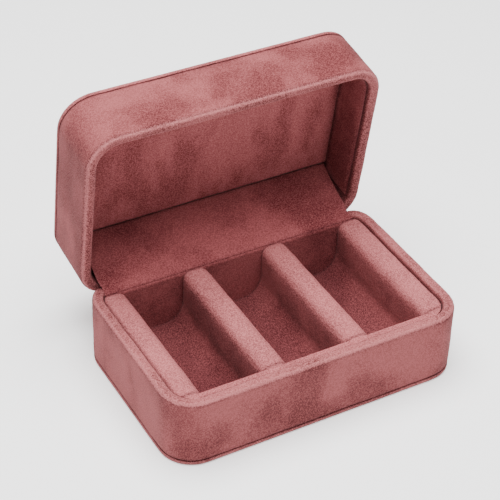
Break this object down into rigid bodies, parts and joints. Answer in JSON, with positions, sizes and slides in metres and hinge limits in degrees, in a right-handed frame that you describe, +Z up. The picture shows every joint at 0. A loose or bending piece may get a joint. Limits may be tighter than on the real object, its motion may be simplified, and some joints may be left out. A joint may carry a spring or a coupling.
{
  "type": "jewelry box",
  "caption": "Velvet-covered jewelry box with rounded corners, a hinged lid that stands open, a stiffened hinge cover and a padded insert with parallel U-shaped troughs",
  "frame": {"origin": "Centre of the base's footprint, on the flat underside that the box stands on", "axes": "+X along the length of the box, -Y towards the front, +Z up. The rest pose has the lid open."},
  "size_m": [0.15, 0.129, 0.127],
  "materials": {
    "velvet_outside": "matte",
    "velvet_inside": "matte",
    "foam": "matte",
    "frame_wood": "matte",
    "greyboard": "matte",
    "hinge_steel": "satin",
    "magnet_nickel": "polished"
  },
  "bodies": {
    "base": {"base_board": "greyboard", "base_frame": "frame_wood", "base_magnets": "magnet_nickel", "base_wrap": "velvet_outside", "bottom_plate_board": "greyboard", "bottom_plate_cover": "velvet_outside", "divider_core_left": "foam", "divider_core_right": "foam", "hinge_cover_flap": "velvet_inside", "hinge_leaf_base_left": "hinge_steel", "hinge_leaf_base_right": "hinge_steel", "hinge_pin_left": "hinge_steel", "hinge_pin_right": "hinge_steel", "hinge_rivets_base": "hinge_steel", "insert_cover": "velvet_inside", "insert_front_wall": "velvet_inside", "insert_rear_wall": "velvet_inside", "insert_tray_board": "greyboard", "shoulder_core_left": "foam", "shoulder_core_right": "foam", "spine_strip": "velvet_outside"},
    "lid": {"hinge_leaf_lid_left": "hinge_steel", "hinge_leaf_lid_right": "hinge_steel", "hinge_rivets_lid": "hinge_steel", "lid_board": "greyboard", "lid_frame": "frame_wood", "lid_lining": "velvet_inside", "lid_magnets": "magnet_nickel", "lid_panel_board": "greyboard", "lid_panel_cover": "velvet_inside", "lid_panel_foam": "foam", "lid_wrap": "velvet_outside", "top_plate_board": "greyboard", "top_plate_cover": "velvet_outside"}
  },
  "joints": [
    {"name": "lid_hinge", "type": "hinge", "parent": "base", "child": "lid", "pos_m": [0, 0.0429, 0.031], "axis": [1, 0, 0], "range_deg": [0, 81], "deforming": ["hinge_cover_flap", "spine_strip"]}
  ]
}
